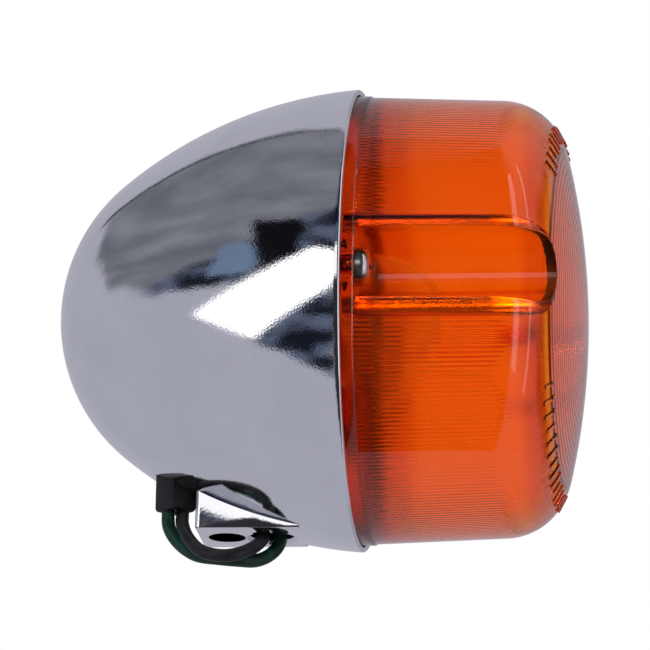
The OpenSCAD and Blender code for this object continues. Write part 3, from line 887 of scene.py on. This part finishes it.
def solid_material(name, dark, light, worn, rough, grain, metallic=0.0, dust=0.25,
                   patch_scale=300.0, specular=0.5):
    """A solid with patchy colour, worn edges, fine grain, dust and uneven roughness."""
    tree = new_material(name)
    patch = noise(tree, object_place(tree), patch_scale, 5.0)
    tone = ramp(tree, patch, [(0.3, dark), (0.7, light)])
    tone = mix_colour(tree, use_group(tree, edge_wear, wear_radius), tone, worn)
    tone = mix_colour(tree, use_group(tree, settled_dust, dust), tone, dust_tone)
    shine = ramp(tree, patch, [(0.25, grey(rough[0])), (0.75, grey(rough[1]))])
    grain_scale, strength = grain
    bump = add(tree, "ShaderNodeBump", {"Height": use_group(tree, fine_grain, grain_scale),
                                        "Strength": strength, "Distance": 0.0001})
    finish_material(tree, {"Base Color": tone, "Roughness": shine, "Metallic": metallic,
                           "Normal": bump.outputs[0], "Specular IOR Level": specular})


wear_radius, dust_tone = 0.0003, (0.42, 0.40, 0.37)
# Each row: name, dark and light tone, worn tone, roughness, grain scale and strength, settings.
clean, metal = {"dust": 0.03, "specular": 0.22}, {"metallic": 1.0}
recipes = [
    ("black_rubber", (0.004, 0.004, 0.005), (0.009, 0.009, 0.011), grey(0.03),
     (0.34, 0.52), (1300.0, 0.3), {"dust": 0.03, "specular": 0.2}),
    ("black_wire_cover", (0.005, 0.005, 0.006), (0.011, 0.012, 0.014), grey(0.03),
     (0.3, 0.46), (1000.0, 0.25), clean),
    ("green_wire_cover", (0.002, 0.014, 0.010), (0.004, 0.030, 0.021), (0.03, 0.09, 0.07),
     (0.30, 0.46), (1000.0, 0.25), clean),
    ("plated_steel", (0.50, 0.50, 0.49), grey(0.66), (0.80, 0.79, 0.76),
     (0.20, 0.36), (1600.0, 0.2), metal),
    ("spring_steel", (0.42, 0.40, 0.36), (0.58, 0.55, 0.50), (0.72, 0.70, 0.66),
     (0.22, 0.40), (1500.0, 0.2), metal),
    ("brass", (0.52, 0.36, 0.15), (0.74, 0.56, 0.27), (0.86, 0.72, 0.42),
     (0.22, 0.42), (1500.0, 0.2), metal),
    ("brown_board", (0.16, 0.075, 0.032), (0.27, 0.135, 0.06), (0.36, 0.22, 0.12),
     (0.5, 0.7), (900.0, 0.5), {"patch_scale": 600.0}),
    ("black_glass", (0.010, 0.010, 0.013), (0.020, 0.020, 0.025), (0.06, 0.06, 0.07),
     (0.06, 0.16), (700.0, 0.08), {}),
    ("solder", (0.42, 0.42, 0.43), (0.60, 0.60, 0.61), grey(0.75),
     (0.28, 0.5), (800.0, 0.5), metal),
    ("tungsten", (0.14, 0.14, 0.15), (0.26, 0.26, 0.28), (0.36, 0.36, 0.38),
     (0.35, 0.5), (1800.0, 0.2), metal),
    ("reflector_bright", (0.76, 0.76, 0.78), (0.86, 0.86, 0.87), grey(0.92),
     (0.07, 0.17), (1200.0, 0.06), {"metallic": 1.0, "dust": 0.12})]
for name, *row, extra in recipes:
    solid_material(name, *row, **extra)
print("materials", len(bpy.data.materials))

# %% [markdown]
# ## The wires and the grommet
# Two leads of lamp wire leave the housing through a rubber block and turn back up into the boss,
# where crimped ends sit. They are held at both ends, so they follow the frame's own routes, with
# a smooth curve through the same points and a slight waist where the rubber grips them.

# %% Wires
wire_r = 1.2 * MM
signal_route = [
    (-23.1, 0, 33.5), (-23.1, -0.3, 31), (-22.2, -1.2, 27.6), (-19, -2.2, 23.8),
    (-14, -3, 20.6), (-9.4, -3.4, 17.2), (-7.6, -3.5, 14), (-7.6, -3.5, 9), (-7.6, -3.5, 3.8),
    (-7.4, -4.6, 1.2), (-6, -6, -1.8), (-3.4, -7.4, -4.3), (0.2, -8, -5.2), (3.2, -7.2, -4.6),
    (5.2, -5, -3.1), (6.3, -2.8, -1.4), (6.8, -0.9, 0.4), (6.8, 0, 2.6), (6.7, 0.2, 5)]
earth_route = [
    (-1.4, -21, 31), (-2, -20.8, 28.4), (-5, -19, 25.4), (-8.4, -15.4, 22.8), (-10.8, -11, 20),
    (-10.9, -7.6, 17.6), (-10.6, -5, 15.4), (-10.2, -3.6, 13), (-10.2, -3.5, 9),
    (-10.2, -3.5, 3.8), (-9.9, -3, 0.9), (-8, -3, -1.9), (-4.8, -4.2, -4.2),
    (-0.9, -5, -5), (2.6, -4.4, -5.2), (5.2, -3, -5), (7.3, -1.5, -3.9), (8.8, 0.2, -2),
    (9.3, 1.6, 0), (9.3, 2, 2.4), (9.3, 2, 5)]


def smooth_path(route, steps=8):
    """A smooth curve through every point of the route, in metres."""
    points = [Vector(p) * MM for p in route]
    ends = [points[0] * 2 - points[1], *points, points[-1] * 2 - points[-2]]
    path = []
    for a, b, c, d in zip(ends, ends[1:], ends[2:], ends[3:]):
        for i in range(steps):
            t = i / steps
            path.append(0.5 * (2 * b + (c - a) * t + (2 * a - 5 * b + 4 * c - d) * t ** 2
                               + (3 * b - a - 3 * c + d) * t ** 3))
    return path + [points[-1]]


def tube_mesh(name, path, radius, sides=20):
    """A round tube along a path. The radius may be a number or a function of the place."""
    tangents = [(path[min(i + 1, len(path) - 1)] - path[max(i - 1, 0)]).normalized()
                for i in range(len(path))]
    across = tangents[0].orthogonal().normalized()
    rings = []
    for point, along in zip(path, tangents):
        across = (across - along * across.dot(along)).normalized()
        over = along.cross(across)
        r = radius(point) if callable(radius) else radius
        rings.append([point + r * (math.cos(a) * across + math.sin(a) * over)
                      for a in circle(sides)])
    return sharpen(rings_mesh(name, rings), 50)


def gripped(point):
    """The cover is squeezed a little where it enters the rubber."""
    near = abs(point.z - grommet_at.z) + (0 if point.x < -5 * MM else 1)
    return wire_r * (0.985 - 0.05 * max(0, 1 - near / (1.2 * MM)))


for colour, route, node in (("black", signal_route, "signal_wire"),
                            ("green", earth_route, "earth_wire")):
    name = f"{colour}_lead"
    path = smooth_path(route)
    length = sum((b - a).length for a, b in zip(path, path[1:]))
    make_object(name, tube_mesh(name, path, gripped), f"{colour}_wire_cover", "lamp", node)
    print(name, "length", round(length / MM, 1), "mm")

# %% Grommet
def grommet_mesh():
    half, height, lead_gap = grommet_w / 2, 9.7 * MM, 1.3 * MM
    block = cube((-half, -half, 0), (half, half, height))
    round_off(block, upright_edges(block), 0.55 * MM, 4)
    round_off(block, bottom_edges(block), 0.75 * MM, 4)
    block.transform(grommet_turn)
    holes = []
    for side in (-1, 1):
        x = grommet_at.x + side * lead_gap
        hole = rod("hole", (x, grommet_at.y, 0), (x, grommet_at.y, 20 * MM), wire_r)
        holes.append((hole, "DIFFERENCE"))
    return sharpen(cut_solid("grommet", mesh_data("grommet", block), holes), 35)


make_object("rubber_grommet", grommet_mesh(), "black_rubber", "lamp", "grommet")

# %% [markdown]
# ## The lens screws
# Two plated pan-head screws with a cross recess hold the lens from the bottom of its channels.
# Each is turned from one outline with a rounded head, then a cross is cut in the head, and the
# shank carries a real thread ridge that winds round it.

# %% Screws
screw_seat = rim_x + channel_floor + 0.05 * MM
head_r, head_h, head_edge_r, head_side = 3.4 * MM, 2.4 * MM, 1.5 * MM, 0.9 * MM
shank_r, core_r, screw_len = 1.95 * MM, 1.67 * MM, 13 * MM


def helix(x0, x1, radius, turns, y, steps):
    count = int(turns * steps)
    path = []
    for i in range(count + 1):
        angle = 2 * math.pi * i / steps
        x = x0 + (x1 - x0) * i / count
        path.append(Vector((x, y + radius * math.cos(angle), axis_z + radius * math.sin(angle))))
    return path


def pan_screw(name, y):
    tip, thread_back = screw_seat - screw_len, screw_seat - screw_len + 0.5 * MM
    head_front, head_round = screw_seat + head_h, screw_seat + head_side
    crown = arc(head_round, head_r - head_edge_r, head_edge_r, 90, 0, 10)
    outline = [(tip, 0), (tip, core_r * 0.7), (thread_back, core_r), (screw_seat, core_r),
               (screw_seat, head_r), (head_round, head_r), *crown[1:], (head_front, 0)]
    body = turned(name, outline, 64, y)
    cuts = []
    for angle in (12, 102):
        place = (Matrix.Translation((head_front, y, axis_z))
                 @ Matrix.Rotation(math.radians(angle), 4, "X"))
        slot = box_mesh("cross", (-1.3 * MM, -0.45 * MM, -1.8 * MM),
                        (0.4 * MM, 0.45 * MM, 1.8 * MM), place)
        cuts.append((slot, "DIFFERENCE"))
    head = sharpen(cut_solid(name, body, cuts), 32)
    winding = helix(thread_back, screw_seat - 0.6 * MM, shank_r - 0.26 * MM, 12, y, 20)
    thread = tube_mesh("thread", winding, 0.25 * MM, 6)
    return joined(name, [head, thread])


for side, hand in ((-1, "left"), (1, "right")):
    name = f"{hand}_pan_screw"
    make_object(name, pan_screw(name, side * screw_out), "plated_steel", f"{hand}_screw",
                f"lens_screw_{hand}")

# %% [markdown]
# ## The bulb
# A common bayonet bulb: a blown globe that narrows to a neck set in a brass cap, a pressed glass
# stem with two support wires, and a coiled tungsten filament across its top. The globe is a thin
# hollow shell, so light bends in it as in a real bulb.

# %% Bulb glass
globe_x, globe_r, neck_r, glass_t = 24 * MM, 13.25 * MM, 7 * MM, 0.6 * MM
neck_back, neck_front, neck_lean = rim_x - 19 * MM, rim_x - 15 * MM, 32


def bulb_outline(inset, back):
    """The neck, a smooth shoulder and the globe, as [x, r] in the frame."""
    lean = math.radians(neck_lean)
    radius = globe_r - inset
    start = Vector((neck_front, neck_r - inset))
    end = Vector((globe_x - radius * math.sin(lean), radius * math.cos(lean)))
    reach = (end - start).length * 0.36
    a, b = start + Vector((reach, 0)), end - Vector((math.cos(lean), math.sin(lean))) * reach
    shoulder = [tuple((1 - t) ** 3 * start + 3 * (1 - t) ** 2 * t * a + 3 * (1 - t) * t * t * b
                      + t ** 3 * end) for t in np.linspace(0, 1, 16)]
    globe = arc(globe_x, 0, radius, 90 + neck_lean, 0, 44)
    return [(back, 0), (back, neck_r - inset), *shoulder, *globe[1:-1], (globe_x + radius, 0)]


def bulb_glass_mesh():
    outside = turned("bulb_glass", bulb_outline(0, neck_back), 96)
    inside = turned("bulb_hollow", bulb_outline(glass_t, neck_back - MM), 96)
    return sharpen(cut_solid("bulb_glass", outside, [(inside, "DIFFERENCE")]), 40)


def glass_material():
    tree = new_material("clear_glass")
    smear = noise(tree, object_place(tree), 120.0, 4.0)
    tone = ramp(tree, smear, [(0.3, (0.97, 0.98, 0.98)), (0.7, grey(0.99))])
    rough = ramp(tree, smear, [(0.4, grey(0.0)), (0.8, grey(0.06))])
    finish_material(tree, {"Base Color": tone, "Roughness": rough, "IOR": 1.48,
                           "Transmission Weight": 1.0})


glass_material()
make_object("blown_globe", bulb_glass_mesh(), "clear_glass", "bulb", "bulb_glass")

# %% Stem, support wires and filament
stem_back, stem_front, stem_r = -11.4 * MM, 5.6 * MM, 2.4 * MM


def stem_mesh():
    """A pressed stem: round at its foot and pinched flat where it grips the wires."""
    rings = []
    for x in np.linspace(stem_back, stem_front, 22):
        t = (x - stem_back) / (stem_front - stem_back)
        pinch = min(max((t - 0.45) / 0.35, 0), 1) ** 2
        wide, thin = stem_r * (1 - 0.08 * pinch), stem_r * (1 - 0.62 * pinch)
        rings.append([(x, wide * math.cos(a), axis_z + thin * math.sin(a)) for a in circle(40)])
    return sharpen(rings_mesh("bulb_stem", rings), 50)


def coil(x, half, radius, turns, steps):
    """A coil along Y between -half and half."""
    count, path = turns * steps, []
    for i in range(count + 1):
        angle = 2 * math.pi * i / steps
        path.append(Vector((x + radius * math.cos(angle), half * (2 * i / count - 1),
                            axis_z + radius * math.sin(angle))))
    return path


make_object("pressed_stem", stem_mesh(), "clear_glass", "bulb", "bulb_stem")
filament_mesh = tube_mesh("filament", coil(globe_x, 2.5 * MM, 0.36 * MM, 16, 18),
                          0.08 * MM, 8)
make_object("coiled_filament", filament_mesh, "tungsten", "bulb", "filament")
supports = []
for side in (-1, 1):
    line = [(5.6, 1.6), (12, 1.6), (19, 1.62), (22, 1.7), (23.6, 2.05), (24.1, 2.35), (24.5, 2.3)]
    path = smooth_path([(x, side * y, axis_z / MM) for x, y in line], 6)
    supports.append(tube_mesh("support", path, 0.22 * MM, 12))
make_object("support_wires", joined("support_wires", supports), "tungsten", "bulb",
            "filament_leads")

# %% Cap, pins and contact
cap_back, dome_tip, dome_r_foot = -12.8 * MM, -14 * MM, 2.6 * MM


def cap_mesh():
    """Drawn brass with a rolled mouth, two shallow beads and pin holes."""
    back, mouth, r, t = cap_back, 5.5 * MM, 7.5 * MM, 0.45 * MM
    outer = [(back, r - 0.5 * MM), (back + 0.15 * MM, r - 0.15 * MM), (back + 0.5 * MM, r)]
    for bead in (-9.6, 2.2):
        outer += [((bead + along) * MM, r - deep * MM)
                  for along, deep in ((-0.5, 0), (-0.22, 0.12), (0.22, 0.12), (0.5, 0))]
    outer += [(mouth - 0.3 * MM, r), (mouth - 0.05 * MM, r - 0.1 * MM), (mouth, r - t / 2)]
    solid = turned("cap", [(back, 0), *outer, (mouth, 0)], 96)
    hollow = turned("hollow", [(back - MM, 0), (back - MM, r - t), (mouth + MM, r - t),
                               (mouth + MM, 0)], 96)
    pin_x, past = -6.8 * MM, 9 * MM
    drill = rod("drill", (pin_x, -past, axis_z), (pin_x, past, axis_z), MM)
    return sharpen(cut_solid("cap", solid, [(hollow, "DIFFERENCE"), (drill, "DIFFERENCE")]), 35)


def dome_mesh(name, x_base, x_tip, radius):
    """A solder dome whose foot is at x_base and whose top is at x_tip."""
    height = x_base - x_tip
    outline = [(x_tip, 0)]
    outline += [(x_base - height * math.cos(a), radius * math.sin(a))
                for a in np.linspace(0.08, math.pi / 2, 14)]
    outline += [(x_base, 0)]
    return sharpen(turned(name, outline, 48), 50)


make_object("drawn_cap", cap_mesh(), "brass", "bulb", "bulb_cap")
make_object("solder_dome", dome_mesh("solder_dome", cap_back, dome_tip, dome_r_foot), "solder",
            "bulb", "bulb_contact")

# %% [markdown]
# ## Reflector and socket
# The reflector is spun from thin bright sheet, so it keeps faint rings from the tool. The contact
# spring is a real coil, drawn at one length. The pressed and turned pieces around it keep the
# frame's own shapes and get their finishes here.

# %% Reflector
def turned_loop(name, outline):
    """A ring of revolution from a closed outline that stays clear of the axis."""
    rings = [ring_at(x, r, 160) for x, r in [*outline, outline[0]]]
    data = rings_mesh(name, rings, False)
    mesh = bmesh.new()
    mesh.from_mesh(data)
    bmesh.ops.remove_doubles(mesh, verts=mesh.verts, dist=1e-8)
    bmesh.ops.recalc_face_normals(mesh, faces=mesh.faces)
    mesh.to_mesh(data)
    mesh.free()
    return data


def reflector_mesh():
    hole_r, hole_x, bowl_x, bowl_edge = 9 * MM, -20.8 * MM, -rebate_depth, 37.9 * MM
    sheet, rim_round, lift, notch_r = 0.6 * MM, 0.2 * MM, 0.01 * MM, 4.9 * MM
    centre = (bowl_edge ** 2 - hole_r ** 2 + bowl_x ** 2 - hole_x ** 2) / (2 * (bowl_x - hole_x))
    bowl_r = math.hypot(hole_r, centre - hole_x)
    front, back, rows = [], [], 90
    for i in range(rows):
        r = hole_r + (bowl_edge - hole_r) * i / (rows - 1)
        ripple = 0.012 * MM * math.sin(2 * math.pi * r / (1.6 * MM))
        front.append((centre - math.sqrt((bowl_r - sheet) ** 2 - r ** 2) + ripple, r))
        back.append((centre - math.sqrt(bowl_r ** 2 - r ** 2), r))
    flange_r, flange_x = rebate_r - 0.12 * MM, bowl_x + sheet
    front = [p for p in front if p[0] < flange_x - 0.05 * MM]
    front += [(flange_x, front[-1][1] + rim_round), (flange_x, flange_r - rim_round),
              (bowl_x + sheet / 2, flange_r), (bowl_x + lift, flange_r - rim_round),
              (bowl_x + lift, bowl_edge)]
    dish = turned_loop("reflector", shifted(front + back[:-1][::-1]))
    cuts = [(axial("notch", 0, rim_x + MM, notch_r, side * screw_out), "DIFFERENCE")
            for side in (-1, 1)]
    return sharpen(cut_solid("reflector", dish, cuts), 35)


make_object("spun_reflector", reflector_mesh(), "reflector_bright", "lamp", "reflector")

# %% Contact spring
spring_back, spring_front = -20 * MM, -15.85 * MM
spring_wire, coil_r, coil_turns = 0.36 * MM, 4.8 * MM, 3.25
coil_path = helix(spring_back + spring_wire, spring_front - spring_wire, coil_r, coil_turns, 0, 40)
spring = make_object("contact_coil", tube_mesh("contact_coil", coil_path, spring_wire, 12),
                     "spring_steel", "lamp", "contact_spring")
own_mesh(spring)

# %% Finishes of the frame's own pieces
finishes = {
    "black_rubber": ["lens_gasket"], "black_glass": ["bulb_insulator"],
    "plated_steel": ["socket_shell", "socket_bracket", "bracket_screws", "earth_tag"],
    "brown_board": ["socket_back_plate", "contact_carrier"],
    "brass": ["signal_terminal", "contact_button", "bulb_pins", "wire_terminals"]}
for finish, nodes in finishes.items():
    for node in nodes:
        coat(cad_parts[node].data, finish)
print("finished", sum(map(len, finishes.values())), "frame pieces")
